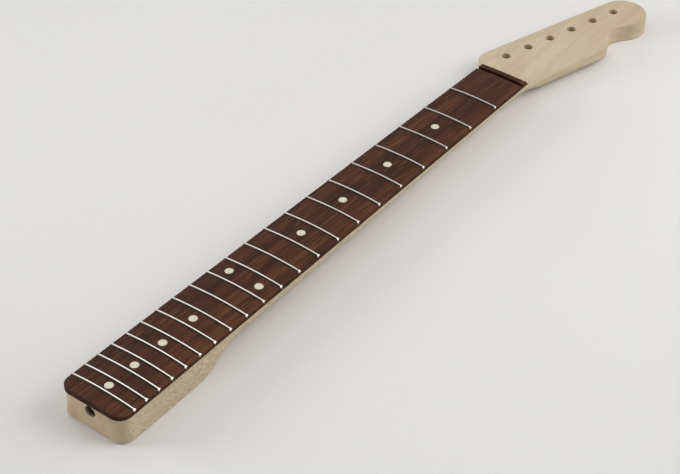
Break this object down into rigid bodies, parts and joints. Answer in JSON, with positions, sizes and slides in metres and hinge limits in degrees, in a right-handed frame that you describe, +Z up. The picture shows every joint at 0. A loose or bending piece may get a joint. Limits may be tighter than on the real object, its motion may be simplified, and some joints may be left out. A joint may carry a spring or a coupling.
{
  "type": "electric guitar neck",
  "caption": "Bolt-on electric guitar neck with a rounded back, rosewood fingerboard, metal frets, dot inlays, an in-line six-hole head and a truss rod nut at the heel.",
  "frame": {"origin": "on the flat back of the heel, at the middle of the pattern of four mounting screw holes", "axes": "+X along the neck's centre line from the heel to the head, +Y towards the bass side, +Z up out of the fingerboard"},
  "size_m": [0.6466, 0.0782, 0.0273],
  "materials": {
    "maple": "sanded bare maple",
    "rosewood": "bare oiled rosewood",
    "fret_nickel": "polished nickel silver",
    "dot_inlay": "cream, faintly pearly",
    "side_dot_inlay": "cream",
    "rod_steel": "plain steel",
    "cover_strip_maple": "bare maple",
    "washer_brass": "plain brass",
    "adjuster_steel": "dark turned steel"
  },
  "bodies": {
    "neck_assembly": {"neck": "maple", "fingerboard": "rosewood", "fret_01": "fret_nickel", "fret_02": "fret_nickel", "fret_03": "fret_nickel", "fret_04": "fret_nickel", "fret_05": "fret_nickel", "fret_06": "fret_nickel", "fret_07": "fret_nickel", "fret_08": "fret_nickel", "fret_09": "fret_nickel", "fret_10": "fret_nickel", "fret_11": "fret_nickel", "fret_12": "fret_nickel", "fret_13": "fret_nickel", "fret_14": "fret_nickel", "fret_15": "fret_nickel", "fret_16": "fret_nickel", "fret_17": "fret_nickel", "fret_18": "fret_nickel", "fret_19": "fret_nickel", "fret_20": "fret_nickel", "fret_21": "fret_nickel", "dot_fret_03": "dot_inlay", "dot_fret_05": "dot_inlay", "dot_fret_07": "dot_inlay", "dot_fret_09": "dot_inlay", "dot_fret_15": "dot_inlay", "dot_fret_17": "dot_inlay", "dot_fret_19": "dot_inlay", "dot_fret_21": "dot_inlay", "dot_fret_12_bass": "dot_inlay", "dot_fret_12_treble": "dot_inlay", "side_dot_03": "side_dot_inlay", "side_dot_05": "side_dot_inlay", "side_dot_07": "side_dot_inlay", "side_dot_09": "side_dot_inlay", "side_dot_15": "side_dot_inlay", "side_dot_17": "side_dot_inlay", "side_dot_19": "side_dot_inlay", "side_dot_21": "side_dot_inlay", "side_dot_12_heel_side": "side_dot_inlay", "side_dot_12_head_side": "side_dot_inlay", "truss_rod": "rod_steel", "truss_rod_anchor": "rod_steel", "truss_rod_cover_strip": "cover_strip_maple", "truss_rod_washer": "washer_brass"},
    "adjuster": {"truss_rod_nut": "adjuster_steel"}
  },
  "joints": [
    {"name": "truss_rod_nut_turn", "type": "hinge", "parent": "neck_assembly", "child": "adjuster", "pos_m": [-0.0292, 0, 0.0168], "axis": [1, 0, 0], "range_deg": [-360, 360]}
  ]
}
